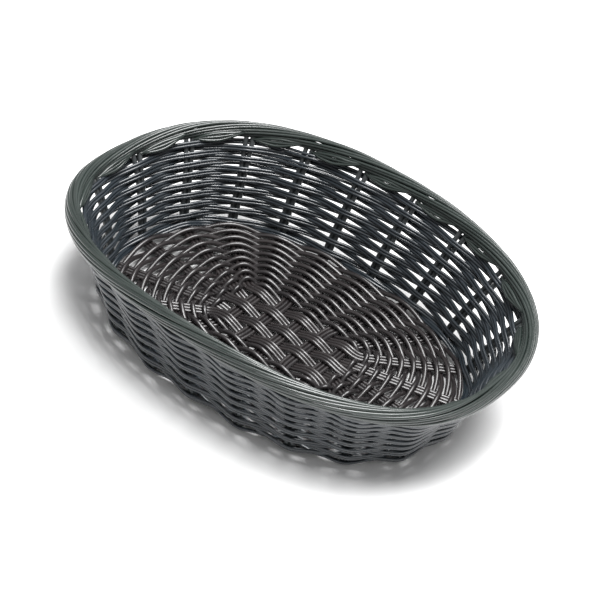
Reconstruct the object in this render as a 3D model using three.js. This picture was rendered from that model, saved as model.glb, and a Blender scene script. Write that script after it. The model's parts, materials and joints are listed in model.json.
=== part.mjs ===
// Oval bread basket woven from black plastic strands.
// Millimetres, +Z up, +X along the long axis. The origin is the middle of the oval,
// on the surface that the basket stands on.
//
// Ten base sticks cross in the middle of the base. Twenty stakes, each a pair of strands,
// stand at their ends. Woven bands fill the base, rows of two thin strands weave in front of
// and behind the stakes up the wall, two border rows end the weave under the rim, and five
// twisted bundles of strands make the rolled rim.
//
// Places on the basket are given by u, which counts stakes anticlockwise, so that stake k
// stands at u = k, and by how far up the surface they are.

import * as THREE from 'three';

// ---------------------------------------------------------------- driving dimensions

// The two ovals: the centreline of the rim roll, and the edge of the base.
const RIM_HALF = { x: 110, y: 79.3 };
const BASE_HALF = { x: 92.5, y: 65.2 };
const OVAL_POWER = 2.34; // 2 would be an ellipse
const OVAL_SKEW = 0.02; // hand weaving leaves the oval slightly askew

// The wall flares from the base to the rim, and more so towards the rim. The rim is a shallow
// saddle: its long sides stand above the mean height, and its two ends dip below it.
const RIM_HEIGHT = 50.5;
const RIM_SADDLE = 4;
const WALL_HOLLOW = 3;
const WALL_INSET = 1; // the stakes' feet run this far inside the edge of the base
const STAKE_LEAN = 0.27; // a stake's foot is this many spacings further round than its top

// Strands and gaps.
const STRAND = 2.2;
const STAKE_WIDTH = 4.6; // two strands side by side
const ROW_HEIGHT = 2; // two thin strands, one above the other
const ROW_THICKNESS = 1.5;
const GAP = 0.3;
const BASE_OFFSET = STRAND + GAP; // from the middle of a base stick to the middle of a band
const ROW_OFFSET = (STRAND + ROW_THICKNESS) / 2 + GAP; // from a stake's middle to a row's
const WEAVE_REACH = STAKE_WIDTH / 2 + 1; // a row runs level this far each side of a stake
const SPOKE_HEIGHT = 1.5 * STRAND + GAP; // middle of the base sticks above the table

// Stakes. The first stands this many spacings past the +X end of the oval.
const STAKE_COUNT = 20;
const STAKE_PHASE = 0.712;
const STAKE_TOP = 0.905;
const BEND_STEPS = 6; // stations on a stake in the bend, and up the wall
const WALL_STEPS = 5;

// The middle of the base, where five cross sticks and five long sticks weave over and under
// each other. Each stick reaches from one stake to another across the base.
const STICKS_EACH_WAY = 5;
const CROSS_SPACING = 13;
const LONG_SPACING = 6.5;
const STICK_WIDTH = 4;
const STICK_REACH = STICK_WIDTH / 2 + 0.7; // a long stick runs level this far past a cross stick
const MIDDLE_HALF = { x: 33, y: 16.4 };
const FIRST_CROSS_STAKES = { back: 2, front: 16 }; // at the ends of the first cross stick
const FIRST_LONG_STAKES = { right: 17, left: 11 }; // at the ends of the first long stick

// Rows: bands three rows wide on the base, and rows of two thin strands in the bend and up the
// wall. Places on the base are parts of the way from the edge of its middle to its own edge,
// places in the bend are parts of its length, and places on the wall are parts of its height.
const BASE_BANDS = 6;
const FIRST_BASE_BAND = 0.127;
const BASE_BAND_STEP = 0.1405;
const BAND_WIDTH = 5.6;
const STICK_END = 0.908;
const BEND_START = 0.925;
const BEND_ROWS = [0.28, 0.64, 0.97];
const BEND_TOP = 0.19;
const WALL_ROWS = 12;
const FIRST_WALL_ROW = 0.238;
const LAST_WALL_ROW = 0.79;
const WALL_ROW_EASE = 0.09; // rows are closer in height at the top, to be even on the slope
const BORDER_ROWS = [0.837, 0.885];

// Rim roll: five strands that turn round the roll's middle, outside to top to inside.
const RIM_STRANDS = 5;
const RIM_TURNS = 4;
const RIM_STEPS = 4; // stations from one stake to the next
const RIM_OUTER = 3.45;
const RIM_INNER = 1.2;
const RIM_STRETCH = 1.2; // the roll is this much taller than it is wide

// The one material: glossy black plastic, a little lighter where strands lie loose.
const BLACK = 0x17191a;
const SOFT_BLACK = 0x1f2223;

const { lerp } = THREE.MathUtils;

// ---------------------------------------------------------------- the basket's surface

const signedPower = (value, power) => Math.sign(value) * Math.abs(value) ** power;

// A point of an oval at an angle parameter t.
function ovalPoint(half, t) {
  const x = half.x * signedPower(Math.cos(t), 2 / OVAL_POWER);
  const y = half.y * signedPower(Math.sin(t), 2 / OVAL_POWER);
  const around = Math.atan2(y / half.y, x / half.x);
  const skew = 1 + OVAL_SKEW * Math.sin(2 * around);
  return { x: x * skew, y: y * skew, around };
}

// Lengths along the rim at equal steps of the angle parameter.
const ANGLE_STEPS = 1440;
const RIM_LENGTHS = [0];
for (let i = 1; i <= ANGLE_STEPS; i += 1) {
  const before = ovalPoint(RIM_HALF, (2 * Math.PI * (i - 1)) / ANGLE_STEPS);
  const here = ovalPoint(RIM_HALF, (2 * Math.PI * i) / ANGLE_STEPS);
  RIM_LENGTHS.push(RIM_LENGTHS[i - 1] + Math.hypot(here.x - before.x, here.y - before.y));
}

// The angle parameter at u. Stakes are equally spaced along the rim.
function angleAt(u) {
  const turns = (u + STAKE_PHASE) / STAKE_COUNT;
  const target = (turns - Math.floor(turns)) * RIM_LENGTHS[ANGLE_STEPS];
  let low = 0;
  let high = ANGLE_STEPS;
  while (high - low > 1) {
    const middle = (low + high) >> 1;
    if (RIM_LENGTHS[middle] <= target) low = middle;
    else high = middle;
  }
  const part = (target - RIM_LENGTHS[low]) / (RIM_LENGTHS[high] - RIM_LENGTHS[low]);
  return (2 * Math.PI * (low + part)) / ANGLE_STEPS;
}

// The horizontal direction that points straight out of the rim.
function outward(u) {
  const step = 1e-2;
  const a = ovalPoint(RIM_HALF, angleAt(u - step));
  const b = ovalPoint(RIM_HALF, angleAt(u + step));
  return new THREE.Vector3(b.y - a.y, a.x - b.x, 0).normalize();
}

// The edge of the base at the foot of the line up the wall whose top is at u.
const footPoint = (u) => ovalPoint(BASE_HALF, angleAt(u + STAKE_LEAN));

// The wall at a part s of its height: 0 is the table, 1 is the middle of the rim roll.
function wallPoint(u, s) {
  const rim = ovalPoint(RIM_HALF, angleAt(u));
  const foot = footPoint(u);
  const height = RIM_HEIGHT - RIM_SADDLE * Math.cos(2 * rim.around);
  const shift = -WALL_HOLLOW * 4 * s * (1 - s) - WALL_INSET * (1 - s);
  const point = new THREE.Vector3(lerp(foot.x, rim.x, s), lerp(foot.y, rim.y, s), s * height);
  return point.addScaledVector(outward(u + STAKE_LEAN * (1 - s)), shift);
}

const crossX = (i) => ((STICKS_EACH_WAY - 1) / 2 - i) * CROSS_SPACING;
const longY = (j) => (j - (STICKS_EACH_WAY - 1) / 2) * LONG_SPACING;
const stakeAt = (k) => ((k % STAKE_COUNT) + STAKE_COUNT) % STAKE_COUNT;
const crossStakes = (i) => [FIRST_CROSS_STAKES.back + i, FIRST_CROSS_STAKES.front - i];
const longStakes = (j) => [stakeAt(FIRST_LONG_STAKES.right + j), FIRST_LONG_STAKES.left - j];

// The edge of the middle of the base: a curve through the places where the sticks leave it.
function middleEdge() {
  const points = [];
  for (let i = 0; i < STICKS_EACH_WAY; i += 1) {
    const [back, front] = crossStakes(i);
    points[back] = new THREE.Vector3(crossX(i), MIDDLE_HALF.y, 0);
    points[front] = new THREE.Vector3(crossX(i), -MIDDLE_HALF.y, 0);
    const [right, left] = longStakes(i);
    points[right] = new THREE.Vector3(MIDDLE_HALF.x, longY(i), 0);
    points[left] = new THREE.Vector3(-MIDDLE_HALF.x, longY(i), 0);
  }
  return new THREE.CatmullRomCurve3(points, true, 'catmullrom', 0.5);
}
const MIDDLE_EDGE = middleEdge();

// The base at a part of the way from the edge of its middle to its own edge.
function basePoint(u, part) {
  const edge = footPoint(u);
  const middle = MIDDLE_EDGE.getPoint(stakeAt(u) / STAKE_COUNT);
  return new THREE.Vector3(lerp(middle.x, edge.x, part), lerp(middle.y, edge.y, part), SPOKE_HEIGHT);
}

// The bend between base and wall, a curve whose ends follow both.
function bendPoint(u, q) {
  const start = basePoint(u, BEND_START);
  const end = wallPoint(u, BEND_TOP);
  const down = wallPoint(u, BEND_TOP - 0.02).sub(end);
  const corner = end.clone().addScaledVector(down, (SPOKE_HEIGHT - end.z) / down.z);
  return new THREE.QuadraticBezierCurve3(start, corner, end).getPoint(q);
}

// The surface has three stretches, from the middle of the base up to the rim.
const SURFACE = { base: basePoint, bend: bendPoint, wall: wallPoint };

// Directions on the surface: around the basket, up it, and out of it.
function directions(stretch, u, place) {
  const at = SURFACE[stretch];
  const step = 1e-2;
  const around = at(u + step, place).sub(at(u - step, place)).normalize();
  const up = at(u, place + step).sub(at(u, place - step)).normalize();
  return { around, up, out: around.clone().cross(up).normalize() };
}

// ---------------------------------------------------------------- solids swept along a path

// A solid through a list of rings. Each ring is the same number of corners, in anticlockwise
// order for someone who looks back at it along the path.
function sweep(rings, closed) {
  const sides = rings[0].length;
  const positions = rings.flat().flatMap((corner) => corner.toArray());
  const index = [];
  const spans = closed ? rings.length : rings.length - 1;
  for (let i = 0; i < spans; i += 1) {
    const here = i * sides;
    const next = ((i + 1) % rings.length) * sides;
    for (let j = 0; j < sides; j += 1) {
      const k = (j + 1) % sides;
      index.push(here + j, here + k, next + k, here + j, next + k, next + j);
    }
  }
  if (!closed) {
    const last = (rings.length - 1) * sides;
    for (let j = 1; j < sides - 1; j += 1) {
      index.push(0, j + 1, j, last, last + j, last + j + 1);
    }
  }
  const geometry = new THREE.BufferGeometry();
  geometry.setAttribute('position', new THREE.Float32BufferAttribute(positions, 3));
  geometry.setIndex(index);
  geometry.computeVertexNormals();
  return geometry;
}

// A rectangular ring: its thickness lies along the normal, its width across the path.
function flatRing(point, ahead, normal, width, thickness = STRAND) {
  const across = normal.clone().cross(ahead).normalize().multiplyScalar(width / 2);
  const through = normal.clone().multiplyScalar(thickness / 2);
  return [
    point.clone().sub(across).sub(through),
    point.clone().add(across).sub(through),
    point.clone().add(across).add(through),
    point.clone().sub(across).add(through),
  ];
}

// ---------------------------------------------------------------- sub-parts

// A closed row round the basket. It stands off the surface by offset as it passes a stake,
// outside and inside in turn, and the next row does the reverse.
function wovenRow(stretch, place, row, offset, width, thickness) {
  const rings = [];
  const add = (u, lift) => {
    const { around, out } = directions(stretch, u, place);
    const point = SURFACE[stretch](u, place).addScaledVector(out, lift);
    rings.push(flatRing(point, around, out, width, thickness));
  };
  for (let k = 0; k < STAKE_COUNT; k += 1) {
    const lift = alternate(row + 1 + k) * offset;
    const reach = levelReach(stretch, k, place, width);
    add(k - reach, lift);
    add(k + reach, lift);
    add(k + 0.5, 0);
  }
  return sweep(rings, true);
}

// How far each side of stake k a row runs level, in u. A wide row that crosses at a slant
// runs level for longer.
function levelReach(stretch, k, place, width) {
  const at = SURFACE[stretch];
  const { around, up } = directions(stretch, k, place);
  const slant = Math.abs(Math.PI / 2 - up.angleTo(around));
  const reach = WEAVE_REACH / Math.cos(slant) + (width / 2) * Math.tan(slant);
  const step = 0.1;
  return (reach * 2 * step) / at(k + step, place).distanceTo(at(k - step, place));
}

const alternate = (count) => (count % 2 === 0 ? 1 : -1);

function baseBand(band) {
  const place = FIRST_BASE_BAND + band * BASE_BAND_STEP;
  return wovenRow('base', place, band, BASE_OFFSET, BAND_WIDTH, STRAND);
}

// A row of two thin strands.
const thinRow = (stretch, place, row) =>
  wovenRow(stretch, place, row, ROW_OFFSET, ROW_HEIGHT, ROW_THICKNESS);

function weaveRow(row) {
  if (row < BEND_ROWS.length) return thinRow('bend', BEND_ROWS[row], row);
  const step = (row - BEND_ROWS.length) / (WALL_ROWS - 1);
  const eased = step * (1 + WALL_ROW_EASE - WALL_ROW_EASE * step);
  return thinRow('wall', lerp(FIRST_WALL_ROW, LAST_WALL_ROW, eased), row);
}

const borderRow = (i) => thinRow('wall', BORDER_ROWS[i], BEND_ROWS.length + WALL_ROWS + i);

// A stake leaves the base, turns up through the bend and follows the wall to under the rim.
function stake(k) {
  const places = [];
  for (let i = 0; i < BEND_STEPS; i += 1) places.push(['bend', i / BEND_STEPS]);
  for (let i = 0; i <= WALL_STEPS; i += 1) {
    places.push(['wall', lerp(BEND_TOP, STAKE_TOP, i / WALL_STEPS)]);
  }
  const rings = places.map(([stretch, place]) => {
    const { up, out } = directions(stretch, k, place);
    return flatRing(SURFACE[stretch](k, place), up, out, STAKE_WIDTH);
  });
  return sweep(rings, false);
}

// A path over the base becomes a stick: its section stays upright.
function stickAlong(points) {
  const up = new THREE.Vector3(0, 0, 1);
  const rings = points.map((point, i) => {
    const before = points[Math.max(i - 1, 0)];
    const after = points[Math.min(i + 1, points.length - 1)];
    return flatRing(point, after.clone().sub(before).setZ(0), up, STICK_WIDTH);
  });
  return sweep(rings, false);
}

function crossStick(i) {
  const [back, front] = crossStakes(i);
  return stickAlong([
    basePoint(back, STICK_END),
    basePoint(back, 0),
    basePoint(front, 0),
    basePoint(front, STICK_END),
  ]);
}

// A long stick weaves over and under the cross sticks in the middle of the base.
function longStick(j) {
  const [right, left] = longStakes(j);
  const points = [basePoint(right, STICK_END), basePoint(right, 0)];
  for (let i = 0; i < STICKS_EACH_WAY; i += 1) {
    const height = SPOKE_HEIGHT + alternate(i + j) * BASE_OFFSET;
    points.push(new THREE.Vector3(crossX(i) + STICK_REACH, longY(j), height));
    points.push(new THREE.Vector3(crossX(i) - STICK_REACH, longY(j), height));
  }
  return stickAlong([...points, basePoint(left, 0), basePoint(left, STICK_END)]);
}

// One strand of the rim roll: a wedge of the round roll that turns about its middle.
function rimStrand(strand) {
  const half = Math.PI / RIM_STRANDS;
  const steps = STAKE_COUNT * RIM_STEPS;
  const rings = [];
  for (let i = 0; i < steps; i += 1) {
    const u = i / RIM_STEPS;
    const middle = wallPoint(u, 1);
    const out = outward(u);
    const turn = 2 * Math.PI * (strand / RIM_STRANDS + (RIM_TURNS * i) / steps);
    const corner = (radius, side) => {
      const angle = turn - side * (half - GAP / radius);
      const point = middle.clone().addScaledVector(out, radius * Math.cos(angle));
      point.z += RIM_STRETCH * radius * Math.sin(angle);
      return point;
    };
    const outer = [corner(RIM_OUTER, -1), corner(RIM_OUTER, 1)];
    rings.push([...outer, corner(RIM_INNER, 1), corner(RIM_INNER, -1)]);
  }
  return sweep(rings, true);
}

// ---------------------------------------------------------------- assembly

const basket = new THREE.Group();
basket.name = 'bread_basket';

// Adds a run of like pieces, each its own mesh with its own material.
function addPieces(name, count, makeGeometry, color, roughness) {
  for (let i = 0; i < count; i += 1) {
    const material = new THREE.MeshStandardMaterial({ color, roughness, metalness: 0 });
    const mesh = new THREE.Mesh(makeGeometry(i), material);
    mesh.name = `${name}_${String(i + 1).padStart(2, '0')}`;
    basket.add(mesh);
  }
}

addPieces('base_cross_stick', STICKS_EACH_WAY, crossStick, BLACK, 0.4);
addPieces('base_long_stick', STICKS_EACH_WAY, longStick, BLACK, 0.4);
addPieces('base_band', BASE_BANDS, baseBand, SOFT_BLACK, 0.4);
addPieces('stake', STAKE_COUNT, stake, BLACK, 0.35);
addPieces('weave_row', BEND_ROWS.length + WALL_ROWS, weaveRow, SOFT_BLACK, 0.32);
addPieces('border_row', BORDER_ROWS.length, borderRow, SOFT_BLACK, 0.3);
addPieces('rim_strand', RIM_STRANDS, rimStrand, BLACK, 0.28);

export default basket;
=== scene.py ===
# Visual model of an oval bread basket, hand-woven from glossy black plastic strands.
# Metres, in the frame of the CAD model. A piece here stands for each CAD piece and shows the
# round strands that it is made of, each of them a tube along its own path.
#
# Places on the basket are given as in the CAD model: u counts stakes anticlockwise, so that
# stake k stands at u = k, and a place on a stretch of the surface (base, bend or wall) says
# how far up it is. Lift is the distance off that surface, positive outside and underneath.

import json
import math
import random

import bpy
import numpy as np
from mathutils import Matrix, Vector


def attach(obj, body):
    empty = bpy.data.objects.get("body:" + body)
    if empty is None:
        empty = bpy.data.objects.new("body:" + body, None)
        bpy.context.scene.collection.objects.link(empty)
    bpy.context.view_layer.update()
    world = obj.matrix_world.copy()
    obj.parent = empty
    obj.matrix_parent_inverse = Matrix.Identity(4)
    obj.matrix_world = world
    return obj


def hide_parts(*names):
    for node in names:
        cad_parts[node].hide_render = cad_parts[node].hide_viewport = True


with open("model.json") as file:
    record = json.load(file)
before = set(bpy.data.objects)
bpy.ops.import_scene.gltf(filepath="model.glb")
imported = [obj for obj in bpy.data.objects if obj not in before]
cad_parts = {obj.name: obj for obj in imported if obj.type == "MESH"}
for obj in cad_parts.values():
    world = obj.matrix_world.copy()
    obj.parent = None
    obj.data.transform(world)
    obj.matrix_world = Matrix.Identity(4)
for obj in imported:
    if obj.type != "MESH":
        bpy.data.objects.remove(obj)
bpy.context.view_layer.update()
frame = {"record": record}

MM = 0.001
SCENE = bpy.context.scene

# ---------------------------------------------------------------- dimensions of the CAD model

RIM_HALF = (110 * MM, 79.3 * MM)
BASE_HALF = (92.5 * MM, 65.2 * MM)
OVAL_POWER = 2.34
OVAL_SKEW = 0.02
RIM_HEIGHT = 50.5 * MM
RIM_SADDLE = 4 * MM
WALL_HOLLOW = 3 * MM
WALL_INSET = 1 * MM
SPOKE_HEIGHT = 3.6 * MM
STAKE_COUNT = 20
STAKE_PHASE = 0.712
STAKE_LEAN = 0.27
STICKS_EACH_WAY = 5
CROSS_SPACING = 13 * MM
LONG_SPACING = 6.5 * MM
MIDDLE_HALF = (33 * MM, 16.4 * MM)
FIRST_CROSS_STAKES = (2, 16)
FIRST_LONG_STAKES = (17, 11)
BEND_START = 0.925
BEND_TOP = 0.19
BEND_ROWS = (0.28, 0.64, 0.97)
WALL_ROWS = 12
FIRST_WALL_ROW = 0.238
LAST_WALL_ROW = 0.79
WALL_ROW_EASE = 0.09
BORDER_ROWS = (0.837, 0.885)

# ---------------------------------------------------------------- dimensions of the strands

BASE_STRAND = 1.25 * MM  # radius of a strand of the base's rows
BASE_STRAND_RANGE = (0.96, 1.0)  # in parts of that
STICK_STRAND = 1.0 * MM  # radius of a strand of a base stick
UPRIGHT = 1.28 * MM  # radius of a strand of the stakes
THIN = 0.785 * MM  # radius of a strand of the wall's rows
THIN_RANGE = (0.96, 1.03)  # in parts of that
SIDES = 12  # round a strand
STEPS = 26  # rings on a row from one stake to the next

BASE_LIFT = 2.25 * MM  # from the middle of a base stick to the middle of a row that passes it
WALL_LIFT = 2.15 * MM  # the same for a stake and a row of the wall
WALL_PINCH = 0.13  # share of a quicker wave that keeps the wall's rows close between the stakes
PAIR_HALF = 0.75 * MM  # from the middle of a wall row to the middle of each of its strands
ROWS_PER_BAND = 3
BASE_WIDTH = 48 * MM  # roughly, from the middle of the base to its edge
FIRST_BASE_ROW = 0.04  # in parts of the way from the middle of the base to its edge
BASE_ROW_STEP = 0.0512

ROW_WOBBLE = 0.22 * MM
PAIR_WOBBLE = 0.08 * MM
LIFT_WOBBLE = 0.04  # in parts of the lift

STAKE_HALF = 1.26 * MM  # from the middle of a stake to the middle of each of its strands
STAKE_WOBBLE = 0.35 * MM
STAKE_TOP = 0.965  # in parts of the wall's height
STAKE_TOP_WOBBLE = 0.01
PARTING = (0.3, 0.8)  # least and most that a strand of a stake moves aside under the rim, in mm
PARTING_START = 0.74  # in parts of the wall's height
PARTING_RISE = 0.2  # from there to where they are fully parted
BEND_RINGS = 15  # rings on a stake's strand in the bend
WALL_RINGS = 44  # the same up the wall

SPOKE_POINTS = 20  # on the line of a base stick, before it is smoothed
MIDDLE_POINTS = 80  # the same across the middle of the base
STICK_GAP = 0.8 * MM  # from one ring of a base stick to the next
STICK_ROUNDS = 24  # of smoothing

CAP_INSET = 0.82  # radius of the cut at a strand's end, in parts of the strand's
CAP_BEVEL = 0.16  # height of the bevel round the cut, in parts of the strand's radius
CAP_CROWN = 0.24  # height of the middle of the cut, in the same

# ---------------------------------------------------------------- the basket's surface


def column(values):
    return np.asarray(values, float)[:, None]


def unit(vectors):
    return vectors / np.linalg.norm(vectors, axis=-1, keepdims=True)


def signed_power(values, power):
    return np.sign(values) * np.abs(values) ** power


def oval(half, angle):
    """Points of an oval, flat on the table, and how far round it they are."""
    x = half[0] * signed_power(np.cos(angle), 2 / OVAL_POWER)
    y = half[1] * signed_power(np.sin(angle), 2 / OVAL_POWER)
    around = np.arctan2(y / half[1], x / half[0])
    skew = 1 + OVAL_SKEW * np.sin(2 * around)
    return np.stack([x * skew, y * skew, 0 * x], axis=-1), around


RIM_ANGLES = np.linspace(0, 2 * math.pi, 1441)
RIM_STEPS = np.linalg.norm(np.diff(oval(RIM_HALF, RIM_ANGLES)[0], axis=0), axis=1)
RIM_LENGTHS = np.concatenate([[0], np.cumsum(RIM_STEPS)])


def angle_at(u):
    turns = (np.asarray(u, float) + STAKE_PHASE) / STAKE_COUNT
    return np.interp((turns % 1) * RIM_LENGTHS[-1], RIM_LENGTHS, RIM_ANGLES)


def outward(u):
    """The level direction that points straight out of the rim."""
    step = 1e-2
    along = oval(RIM_HALF, angle_at(u + step))[0] - oval(RIM_HALF, angle_at(u - step))[0]
    return unit(np.stack([along[:, 1], -along[:, 0], 0 * along[:, 0]], axis=-1))


def foot_point(u):
    """The edge of the base, at the foot of the line up the wall whose top is at u."""
    return oval(BASE_HALF, angle_at(u + STAKE_LEAN))[0]


def wall_point(u, s):
    rim, around = oval(RIM_HALF, angle_at(u))
    foot = foot_point(u)
    s = np.broadcast_to(s, np.shape(u))
    points = foot + (rim - foot) * column(s)
    points[:, 2] = s * (RIM_HEIGHT - RIM_SADDLE * np.cos(2 * around))
    shift = -WALL_HOLLOW * 4 * s * (1 - s) - WALL_INSET * (1 - s)
    return points + outward(u + STAKE_LEAN * (1 - s)) * column(shift)


def cross_x(i):
    return ((STICKS_EACH_WAY - 1) / 2 - i) * CROSS_SPACING


def long_y(j):
    return (j - (STICKS_EACH_WAY - 1) / 2) * LONG_SPACING


def cross_stakes(i):
    return FIRST_CROSS_STAKES[0] + i, FIRST_CROSS_STAKES[1] - i


def long_stakes(j):
    return (FIRST_LONG_STAKES[0] + j) % STAKE_COUNT, FIRST_LONG_STAKES[1] - j


def middle_points():
    """The places where the sticks leave the middle of the base."""
    points = np.zeros((STAKE_COUNT, 3))
    for i in range(STICKS_EACH_WAY):
        back, front = cross_stakes(i)
        points[back] = (cross_x(i), MIDDLE_HALF[1], 0)
        points[front] = (cross_x(i), -MIDDLE_HALF[1], 0)
        right, left = long_stakes(i)
        points[right] = (MIDDLE_HALF[0], long_y(i), 0)
        points[left] = (-MIDDLE_HALF[0], long_y(i), 0)
    return points


MIDDLE = middle_points()


def smooth_curve(points, places, closed=False):
    """A Catmull-Rom curve through points, where place i is point i."""
    points = np.asarray(points, float)
    places = np.asarray(places, float)
    low = np.floor(places).astype(int)
    if closed:
        a, b, c, d = [points[(low + k) % len(points)] for k in (-1, 0, 1, 2)]
    else:
        low = np.clip(low, 0, len(points) - 2)
        a, b, c, d = [points[np.clip(low + k, 0, len(points) - 1)] for k in (-1, 0, 1, 2)]
    f = column(places - low)
    cubic = -a + 3 * b - 3 * c + d
    return 0.5 * (2 * b + (c - a) * f + (2 * a - 5 * b + 4 * c - d) * f**2 + cubic * f**3)


def base_point(u, part):
    middle = smooth_curve(MIDDLE, u, closed=True)
    points = middle + (foot_point(u) - middle) * column(np.broadcast_to(part, np.shape(u)))
    points[:, 2] = SPOKE_HEIGHT
    return points


def bend_point(u, q):
    start = base_point(u, BEND_START)
    end = wall_point(u, BEND_TOP)
    down = wall_point(u, BEND_TOP - 0.02) - end
    corner = end + down * column((SPOKE_HEIGHT - end[:, 2]) / down[:, 2])
    q = column(np.broadcast_to(q, np.shape(u)))
    return start * (1 - q) ** 2 + corner * 2 * q * (1 - q) + end * q**2


SURFACE = {"base": base_point, "bend": bend_point, "wall": wall_point}


def on_surface(stretch, u, place, lift=0.0, aside=0.0, rise=0.0):
    """Points moved off the surface by lift, round it by aside and up it by rise, and the
    direction out of the surface there."""
    u = np.asarray(u, float)
    at = SURFACE[stretch]
    step = 1e-2
    around = unit(at(u + step, place) - at(u - step, place))
    up = unit(at(u, place + step) - at(u, place - step))
    out = unit(np.cross(around, up))
    points = at(u, place)
    for way, size in ((out, lift), (around, aside), (up, rise)):
        points = points + way * column(np.broadcast_to(size, np.shape(u)))
    return points, out


WOBBLE_WAVES = (2, 3, 5, 8, 13)  # round the basket
WOBBLE_SHARES = (0.3, 1)  # least and most of each wave
WOBBLE_RANGE = 2.2  # about the most that the waves add up to


def wobble(rng, u, size):
    """A smooth, closed, small random change along u."""
    total = np.zeros(np.shape(u))
    for waves in WOBBLE_WAVES:
        phase = rng.uniform(0, 2 * math.pi)
        angle = 2 * math.pi * waves * u / STAKE_COUNT + phase
        total += rng.uniform(*WOBBLE_SHARES) * np.sin(angle)
    return size * total / WOBBLE_RANGE


# ---------------------------------------------------------------- strands as meshes


def tube(points, sideways, radius, closed=False):
    """A round strand along points. Returns vertices, faces and strand coordinates, which are
    the strand laid out straight: across it in x and y, along it in z."""
    if closed:
        ahead = np.roll(points, -1, axis=0) - np.roll(points, 1, axis=0)
    else:
        ahead = np.gradient(points, axis=0)
    ahead = unit(ahead)
    across = unit(sideways - ahead * np.sum(sideways * ahead, axis=1, keepdims=True))
    other = np.cross(ahead, across)
    angles = np.linspace(0, 2 * math.pi, SIDES, endpoint=False)
    ring = radius * np.stack([np.cos(angles), np.sin(angles)], axis=-1)
    offsets = ring[None, :, :1] * across[:, None] + ring[None, :, 1:] * other[:, None]
    vertices = (points[:, None] + offsets).reshape(-1, 3)
    gaps = np.linalg.norm(np.diff(points, axis=0), axis=1)
    coords = np.zeros((len(points), SIDES, 3))
    coords[:, :, :2] = ring[None]
    coords[:, :, 2] = column(np.concatenate([[0], np.cumsum(gaps)]))
    coords = coords.reshape(-1, 3)

    here = np.arange(len(points) if closed else len(points) - 1)[:, None] * SIDES
    there = (here + SIDES) % len(vertices)
    side = np.arange(SIDES)[None]
    after = (side + 1) % SIDES
    corners = [here + side, here + after, there + after, there + side]
    faces = np.stack(corners, axis=-1).reshape(-1, 4).tolist()
    if not closed:
        for end, way in ((0, -ahead[0]), (len(points) - 1, ahead[-1])):
            vertices, coords, more = cap(vertices, coords, points[end], way, end, radius)
            faces += more
    return vertices, faces, coords


def cap(vertices, coords, point, way, end, radius):
    """Closes a strand's end with a narrow bevel and a slightly crowned cut."""
    rim = np.arange(SIDES) + end * SIDES
    first = len(vertices)
    inner = point + (vertices[rim] - point) * CAP_INSET + way * CAP_BEVEL * radius
    middle = point + way * CAP_CROWN * radius
    vertices = np.vstack([vertices, inner, middle])
    coords = np.vstack([coords, coords[rim] * CAP_INSET, coords[rim].mean(0)])
    faces = []
    for j in range(SIDES):
        k = (j + 1) % SIDES
        quad = (rim[j], rim[k], first + k, first + j)
        fan = (first + j, first + k, first + SIDES)
        if end == 0:
            quad, fan = quad[::-1], fan[::-1]
        faces += [quad, fan]
    return vertices, coords, faces


def make_piece(node, tubes, material):
    """One object made of strands, which stands for a CAD node."""
    vertices, faces, coords, tones = [], [], [], []
    start = 0
    rng = random.Random("tone " + node)
    for tube_vertices, tube_faces, tube_coords in tubes:
        vertices.append(tube_vertices)
        coords.append(tube_coords + (0, 0, rng.uniform(0, 1)))
        tones.append(np.full(len(tube_vertices), rng.random()))
        faces += [tuple(int(v) + start for v in face) for face in tube_faces]
        start += len(tube_vertices)
    mesh = bpy.data.meshes.new(node + "_strands")
    mesh.from_pydata(np.vstack(vertices).tolist(), [], faces)
    mesh.attributes.new("strand", "FLOAT_VECTOR", "POINT").data.foreach_set(
        "vector", np.vstack(coords).astype(np.float32).ravel()
    )
    mesh.attributes.new("tone", "FLOAT", "POINT").data.foreach_set(
        "value", np.concatenate(tones).astype(np.float32)
    )
    mesh.shade_smooth()
    mesh.materials.append(material)
    piece = bpy.data.objects.new(node + "_strands", mesh)
    SCENE.collection.objects.link(piece)
    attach(piece, "root")
    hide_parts(node)


# ---------------------------------------------------------------- rows

ROW_PLACES = np.arange(STAKE_COUNT * STEPS) / STEPS


def woven_lift(rng, row, size, pinch=0.0):
    """The lift of a row that passes the stakes outside and inside in turn. A pinch brings it
    closer to the surface between the stakes."""
    turn = math.pi * (ROW_PLACES + row + 1)
    wave = (1 - pinch) * np.cos(turn) + pinch * np.cos(3 * turn)
    return size * wave * (1 + wobble(rng, ROW_PLACES, LIFT_WOBBLE))


def base_row(row):
    """A single thick strand, woven round the base."""
    rng = random.Random(f"row base {row}")
    lift = woven_lift(rng, row, BASE_LIFT)
    drift = wobble(rng, ROW_PLACES, ROW_WOBBLE / BASE_WIDTH)
    place = FIRST_BASE_ROW + row * BASE_ROW_STEP + drift
    points, out = on_surface("base", ROW_PLACES, place, lift)
    return tube(points, out, BASE_STRAND * rng.uniform(*BASE_STRAND_RANGE), closed=True)


def thin_row(stretch, place, row):
    """Two thin strands, one above the other, woven together round the wall."""
    rng = random.Random(f"row {stretch} {row}")
    lift = woven_lift(rng, row, WALL_LIFT, WALL_PINCH)
    drift = wobble(rng, ROW_PLACES, ROW_WOBBLE)
    tubes = []
    for side in (-1, 1):
        rise = drift + side * PAIR_HALF + wobble(rng, ROW_PLACES, PAIR_WOBBLE)
        strand_lift = lift + wobble(rng, ROW_PLACES, PAIR_WOBBLE)
        points, out = on_surface(stretch, ROW_PLACES, place, strand_lift, rise=rise)
        tubes.append(tube(points, out, THIN * rng.uniform(*THIN_RANGE), closed=True))
    return tubes


def weave_row(row):
    if row < len(BEND_ROWS):
        return thin_row("bend", BEND_ROWS[row], row)
    step = (row - len(BEND_ROWS)) / (WALL_ROWS - 1)
    eased = step * (1 + WALL_ROW_EASE - WALL_ROW_EASE * step)
    return thin_row("wall", FIRST_WALL_ROW + (LAST_WALL_ROW - FIRST_WALL_ROW) * eased, row)


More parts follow.
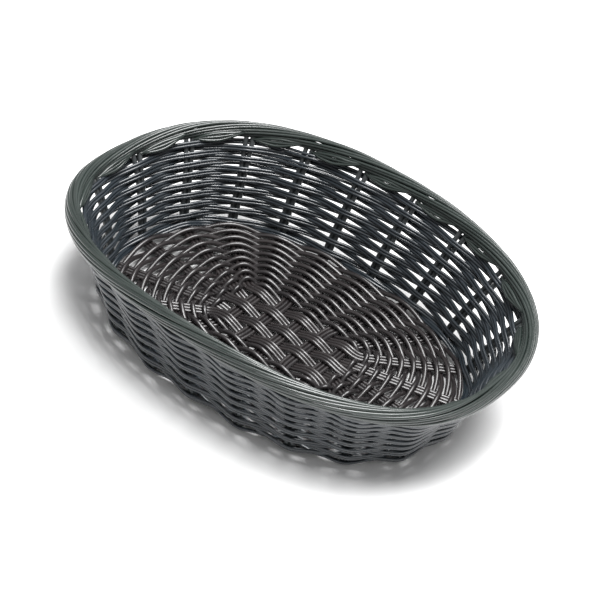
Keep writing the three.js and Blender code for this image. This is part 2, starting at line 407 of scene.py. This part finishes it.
def border_row(i):
    return thin_row("wall", BORDER_ROWS[i], len(BEND_ROWS) + WALL_ROWS + i)


# ---------------------------------------------------------------- stakes and base sticks


def stake(k):
    """A pair of strands that turns up at the edge of the base and parts under the rim."""
    rng = random.Random(f"stake {k}")
    lean = rng.uniform(-1, 1) * STAKE_WOBBLE
    parting = rng.uniform(*PARTING) * MM
    strands = []
    for side in (-1, 1):
        top = STAKE_TOP + rng.uniform(-STAKE_TOP_WOBBLE, STAKE_TOP_WOBBLE)
        pieces, ways = [], []
        for stretch, places in (
            ("bend", np.linspace(0, 1, BEND_RINGS, endpoint=False)),
            ("wall", np.linspace(BEND_TOP, top, WALL_RINGS)),
        ):
            height = places if stretch == "wall" else 0 * places
            bow = np.sin(math.pi * height) * lean
            part = parting * np.clip((height - PARTING_START) / PARTING_RISE, 0, 1)
            u = np.full(len(places), float(k))
            points, out = on_surface(stretch, u, places, aside=side * (STAKE_HALF + part) + bow)
            pieces.append(points)
            ways.append(out)
        strands.append(tube(np.vstack(pieces), np.vstack(ways), UPRIGHT))
    return strands


def smoothed(points, rounds):
    for _ in range(rounds):
        points = points.copy()
        points[1:-1] = (points[:-2] + 2 * points[1:-1] + points[2:]) / 4
    return points


def spaced(points, gap):
    """The same line with its points an even gap apart."""
    lengths = np.concatenate([[0], np.cumsum(np.linalg.norm(np.diff(points, axis=0), axis=1))])
    places = np.linspace(0, lengths[-1], round(lengths[-1] / gap) + 1)
    return np.stack([np.interp(places, lengths, points[:, axis]) for axis in range(3)], axis=-1)


def stick(points):
    """Three strands side by side along a line over the base."""
    line = smoothed(spaced(points, STICK_GAP), STICK_ROUNDS)
    up = np.tile((0.0, 0.0, 1.0), (len(line), 1))
    beside = unit(np.cross(np.gradient(line, axis=0), up))
    pitch = 2 * STICK_STRAND
    return [tube(line + beside * side * pitch, up, STICK_STRAND) for side in (-1, 0, 1)]


def spoke(k):
    """The line of a stick from the middle of the base out to stake k."""
    parts = np.linspace(0, BEND_START, SPOKE_POINTS)
    return base_point(np.full(len(parts), float(k)), parts)


def cross_stick(i):
    back, front = cross_stakes(i)
    return stick(np.vstack([spoke(back)[::-1], spoke(front)]))


def long_stick(j):
    """A long stick weaves over and under the cross sticks in the middle of the base."""
    right, left = long_stakes(j)
    x = np.linspace(MIDDLE_HALF[0], -MIDDLE_HALF[0], MIDDLE_POINTS)[1:-1]
    place = (cross_x(0) - x) / CROSS_SPACING
    inside = np.abs(place - (STICKS_EACH_WAY - 1) / 2) < STICKS_EACH_WAY / 2
    wave = np.where(inside, np.cos(math.pi * (place + j)), 0)
    height = SPOKE_HEIGHT + BASE_LIFT * wave
    middle = np.stack([x, np.full(len(x), long_y(j)), height], axis=-1)
    return stick(np.vstack([spoke(right)[::-1], middle, spoke(left)]))


# ---------------------------------------------------------------- rolled rim

ROLL_HALF = (2.85 * MM, 3.4 * MM)  # of the ring of strand middles in a section of the roll
ROLL_PAIRS = 7  # side by side in a section of the roll
ROLL_TURN = 2 * math.pi / ROLL_PAIRS  # from one stake to the next
ROLL_STEPS = 22  # rings on a strand from one stake to the next
ROLL_STRAND = 0.8 * MM  # radius
ROLL_PAIR_HALF = 0.21  # from the middle of a pair to each of its strands, in parts of ROLL_TURN
ROLL_TAIL = 0.2  # how far a pair runs on beyond its first and last stake, in stakes
ROLL_RISE = 0.45  # how far along it comes up to its full size, in stakes
ROLL_DEPTH = 0.3  # its size at the very end, in parts of the full size
PAIR_HEIGHT = (0.95, 1.05)  # a pair's size, in parts of ROLL_HALF
# Random changes: turns in radians, sizes in parts of ROLL_HALF.
ROLL_WOBBLES = {"pair turn": 0.07, "pair size": 0.04, "turn": 0.03, "size": 0.02}


def roll_pair(k):
    """Two strands that enter the roll under stake k, turn once round it and end inside it."""
    rng = random.Random(f"roll {k}")
    rings = round((ROLL_PAIRS + 2 * ROLL_TAIL) * ROLL_STEPS)
    u = k + np.linspace(-ROLL_TAIL, ROLL_PAIRS + ROLL_TAIL, rings)
    ends = np.clip(np.minimum(u - u[0], u[-1] - u) / ROLL_RISE, 0, 1)
    sink = ROLL_DEPTH + (1 - ROLL_DEPTH) * np.sin(ends * math.pi / 2)
    pair_turn = ROLL_TURN * (u - k) - math.pi / 2 + wobble(rng, u, ROLL_WOBBLES["pair turn"])
    pair_size = rng.uniform(*PAIR_HEIGHT) + wobble(rng, u, ROLL_WOBBLES["pair size"])
    tubes = []
    for side in (-1, 1):
        turn = pair_turn + ROLL_TURN * side * ROLL_PAIR_HALF
        turn = turn + wobble(rng, u, ROLL_WOBBLES["turn"])
        size = sink * (pair_size + wobble(rng, u, ROLL_WOBBLES["size"]))
        way = outward(u) * column(ROLL_HALF[0] * np.cos(turn))
        way[:, 2] = ROLL_HALF[1] * np.sin(turn)
        tubes.append(tube(wall_point(u, 1.0) + way * column(size), way, ROLL_STRAND))
    return tubes


TUCKED_STRANDS = 3  # from each stake to the next
TUCKED_PITCH = 0.027  # from one strand to the next, in parts of the wall's height
TUCKED_PITCH_WOBBLE = 0.003
TUCKED_RANGE = (0.95, 1.05)  # their radius, in parts of THIN
TUCKED_RINGS = 56
TUCKED_ROUNDS = 3  # of smoothing
TUCKED_BULGE = 3.5 * MM  # how far they stand off the wall
BULGE_RANGE = (0.85, 1.1)  # in parts of that
FLAT_SPANS = {2: 0.6, 3: 0.55, 4: 0.75, 6: 0.8, 13: 0.6, 17: 0.7}  # spans where they bulge less


def tucked_ends(k):
    """Strand ends that leave the roll on its inner side, cross below it in a loose band and
    are tucked in behind the next stake."""
    rng = random.Random(f"tucked {k}")
    bulge = TUCKED_BULGE * FLAT_SPANS.get(k, rng.uniform(*BULGE_RANGE))
    tubes = []
    for i in range(TUCKED_STRANDS):
        fan = (i - (TUCKED_STRANDS - 1) / 2) * TUCKED_PITCH
        fan += rng.uniform(-TUCKED_PITCH_WOBBLE, TUCKED_PITCH_WOBBLE)
        key = [  # stakes past stake k, place up the wall, lift
            (0.05, 0.99, -2.3 * MM),
            (0.25, 0.955 - 0.4 * fan, -0.9 * bulge),
            (0.50, 0.932 - fan, -bulge),
            (0.74, 0.925 - 0.7 * fan, -0.8 * bulge),
            (0.90, 0.922, -1.1 * MM),
            (0.98, 0.920, 0.3 * MM),
        ]
        line = smooth_curve(key, np.linspace(0, len(key) - 1, TUCKED_RINGS))
        points, out = on_surface("wall", k + line[:, 0], line[:, 1], line[:, 2])
        radius = THIN * rng.uniform(*TUCKED_RANGE)
        tubes.append(tube(smoothed(points, TUCKED_ROUNDS), out, radius))
    return tubes


# ---------------------------------------------------------------- materials

# Noise in the plastic: scale, detail and stretch. Lines and grain run along the strand.
LINES = (1600, 2, (1, 1, 0.012))
CLOUD = (45, 4, (1, 1, 1))
GRAIN = (900, 5, (1, 1, 0.25))

REFRACTION = 1.5
COAT_ROUGHNESS = 0.12
LINE_DEPTH = 0.05 * MM
LINE_STRENGTH = 0.52
CLOUD_SHARE = 0.7  # of the mix of dark and light
TONE_SHARE = (-0.1, 0.4)  # least and most that a strand's own tone adds to the mix
GRAIN_LEVELS = (0.3, 0.75)  # of the noise, for the least and the most roughness
GRAIN_ROUGHNESS = (-0.06, 0.09)  # what they add to the roughness
CLOUD_LEVELS = (0.3, 0.7)
CLOUD_ROUGHNESS = (-0.04, 0.06)


def plastic(name, dark, light, roughness, coat):
    """Glossy plastic strand: drawn lines along it, a cloudy film, and scuffs."""
    material = bpy.data.materials.new(name)
    material.use_nodes = True
    nodes, links = material.node_tree.nodes, material.node_tree.links
    shader = nodes["Principled BSDF"]
    shader.inputs["IOR"].default_value = REFRACTION
    shader.inputs["Coat Weight"].default_value = coat
    shader.inputs["Coat Roughness"].default_value = COAT_ROUGHNESS

    def noise(vector, scale, detail, stretch):
        mapping = nodes.new("ShaderNodeMapping")
        mapping.inputs["Scale"].default_value = stretch
        links.new(vector, mapping.inputs["Vector"])
        texture = nodes.new("ShaderNodeTexNoise")
        texture.inputs["Scale"].default_value = scale
        texture.inputs["Detail"].default_value = detail
        links.new(mapping.outputs["Vector"], texture.inputs["Vector"])
        return texture.outputs["Fac"]

    def ramp(value, levels, results):
        node = nodes.new("ShaderNodeMapRange")
        node.inputs["From Min"].default_value, node.inputs["From Max"].default_value = levels
        node.inputs["To Min"].default_value, node.inputs["To Max"].default_value = results
        links.new(value, node.inputs["Value"])
        return node.outputs["Result"]

    strand = nodes.new("ShaderNodeAttribute")
    strand.attribute_name = "strand"
    tone = nodes.new("ShaderNodeAttribute")
    tone.attribute_name = "tone"
    place = nodes.new("ShaderNodeTexCoord").outputs["Object"]

    lines = noise(strand.outputs["Vector"], *LINES)
    cloud = noise(place, *CLOUD)
    grain = noise(strand.outputs["Vector"], *GRAIN)

    colour = nodes.new("ShaderNodeMix")
    colour.data_type = "RGBA"
    colour.inputs["A"].default_value = (*dark, 1)
    colour.inputs["B"].default_value = (*light, 1)
    share = nodes.new("ShaderNodeMath")
    share.operation = "MULTIPLY_ADD"
    links.new(cloud, share.inputs[0])
    share.inputs[1].default_value = CLOUD_SHARE
    links.new(ramp(tone.outputs["Fac"], (0, 1), TONE_SHARE), share.inputs[2])
    links.new(share.outputs[0], colour.inputs["Factor"])
    links.new(colour.outputs["Result"], shader.inputs["Base Color"])

    rough = nodes.new("ShaderNodeMath")
    rough.operation = "ADD"
    grain_roughness = [roughness + change for change in GRAIN_ROUGHNESS]
    links.new(ramp(grain, GRAIN_LEVELS, grain_roughness), rough.inputs[0])
    links.new(ramp(cloud, CLOUD_LEVELS, CLOUD_ROUGHNESS), rough.inputs[1])
    links.new(rough.outputs[0], shader.inputs["Roughness"])

    bump = nodes.new("ShaderNodeBump")
    bump.inputs["Strength"].default_value = LINE_STRENGTH
    bump.inputs["Distance"].default_value = LINE_DEPTH
    links.new(lines, bump.inputs["Height"])
    links.new(bump.outputs["Normal"], shader.inputs["Normal"])
    return material


# Dark and light colour of each plastic
# Stakes: black strands lightened well above the rows' plastic, painted light and sheen standing in
# for the light they catch.
STAKE_GREY_PAINTED_LIGHT = ((0.030, 0.034, 0.036), (0.062, 0.068, 0.070))
BLUE = ((0.007, 0.011, 0.015), (0.022, 0.029, 0.036))
# Base: black plastic with a warm brown tint, a painted warm reflection of bread lying in the
# basket.
BROWN_PAINTED_REFLECTION = ((0.009, 0.008, 0.009), (0.023, 0.019, 0.019))
# Rim: greenish and lighter than the rows' plastic, painted light on the top of the basket.
RIM_GREEN_PAINTED_LIGHT = ((0.010, 0.016, 0.014), (0.030, 0.040, 0.036))

MATERIALS = {
    "base_stick": plastic("base_stick_plastic_painted_reflection", *BROWN_PAINTED_REFLECTION, 0.28, 0.4),
    "base_weave": plastic("base_weave_plastic_painted_reflection", *BROWN_PAINTED_REFLECTION, 0.30, 0.35),
    "stake": plastic("stake_plastic_painted_light", *STAKE_GREY_PAINTED_LIGHT, 0.42, 0.4),
    "weave": plastic("weave_plastic", *BLUE, 0.30, 0.6),
    "border": plastic("border_plastic", *BLUE, 0.35, 0.5),
    "rim": plastic("rim_plastic_painted_light", *RIM_GREEN_PAINTED_LIGHT, 0.30, 0.6),
}

# ---------------------------------------------------------------- assembly

SLOTS = {row["node"]: row["material_slot"] for row in frame["record"]["subparts"]}


def make_pieces(prefix, make_tubes):
    """A piece for each CAD node of a run, from the strands that make_tubes gives for it."""
    nodes = sorted(node for node in SLOTS if node.startswith(prefix))
    for i, node in enumerate(nodes):
        make_piece(node, make_tubes(i), MATERIALS[SLOTS[node]])


def base_band(i):
    return [base_row(ROWS_PER_BAND * i + j) for j in range(ROWS_PER_BAND)]


RIM_NODES = 5


def rim_strand(i):
    tubes = []
    for k in range(i, STAKE_COUNT, RIM_NODES):
        tubes += roll_pair(k) + tucked_ends(k)
    return tubes


make_pieces("base_cross_stick", cross_stick)
make_pieces("base_long_stick", long_stick)
make_pieces("base_band", base_band)
make_pieces("stake", stake)
make_pieces("weave_row", weave_row)
make_pieces("border_row", border_row)
make_pieces("rim_strand", rim_strand)

# ---------------------------------------------------------------- camera

CAMERA_AZIMUTH = math.radians(30.56)
CAMERA_ELEVATION = math.radians(40.33)
CAMERA_ROLL = math.radians(11.85)
CAMERA_DISTANCE = 824.5 * MM
CAMERA_TARGET = Vector((6.20, -2.97, 31.15)) * MM
CAMERA_LENS = 107.74


def add_camera():
    level = math.cos(CAMERA_ELEVATION)
    back = Vector(
        (
            math.sin(CAMERA_AZIMUTH) * level,
            -math.cos(CAMERA_AZIMUTH) * level,
            math.sin(CAMERA_ELEVATION),
        )
    )
    right = Vector((0, 0, 1)).cross(back).normalized()
    up = back.cross(right)
    tilted_right = right * math.cos(CAMERA_ROLL) + up * math.sin(CAMERA_ROLL)
    tilted_up = back.cross(tilted_right)
    data = bpy.data.cameras.new("camera")
    data.lens = CAMERA_LENS
    data.clip_start = 0.01
    camera = bpy.data.objects.new("camera", data)
    camera.matrix_world = (
        Matrix.Translation(CAMERA_TARGET + back * CAMERA_DISTANCE)
        @ Matrix((tilted_right, tilted_up, back)).transposed().to_4x4()
    )
    SCENE.collection.objects.link(camera)
    SCENE.camera = camera


add_camera()

# ---------------------------------------------------------------- floor and light


FLOOR_HALF = 3.0
FLOOR_COLOUR = (0.93, 0.93, 0.93, 1)
FLOOR_ROUGHNESS = 0.9
WORLD_STRENGTH = 0.41
AIM = (0, 0, 0.03)


def add_floor():
    corners = [(x * FLOOR_HALF, y * FLOOR_HALF, 0) for x, y in ((-1, -1), (1, -1), (1, 1), (-1, 1))]
    mesh = bpy.data.meshes.new("floor")
    mesh.from_pydata(corners, [], [(0, 1, 2, 3)])
    material = bpy.data.materials.new("floor_paint")
    material.use_nodes = True
    shader = material.node_tree.nodes["Principled BSDF"]
    shader.inputs["Base Color"].default_value = FLOOR_COLOUR
    shader.inputs["Roughness"].default_value = FLOOR_ROUGHNESS
    mesh.materials.append(material)
    floor = bpy.data.objects.new("floor", mesh)
    SCENE.collection.objects.link(floor)


def add_light(name, place, size, power):
    data = bpy.data.lights.new(name, "AREA")
    data.shape = "RECTANGLE"
    data.size, data.size_y = size
    data.energy = power
    light = bpy.data.objects.new(name, data)
    light.location = place
    light.rotation_euler = (Vector(place) - Vector(AIM)).to_track_quat("Z", "Y").to_euler()
    SCENE.collection.objects.link(light)


def add_world():
    world = bpy.data.worlds.new("studio")
    world.use_nodes = True
    background = world.node_tree.nodes["Background"]
    background.inputs["Color"].default_value = (1, 1, 1, 1)
    background.inputs["Strength"].default_value = WORLD_STRENGTH
    SCENE.world = world


add_floor()
add_world()
add_light("key", (0.10, 0.32, 1.25), (1.0, 0.6), 24)
add_light("front", (0.12, -0.26, 1.30), (0.4, 0.4), 14)
SCENE.view_settings.view_transform = "Standard"
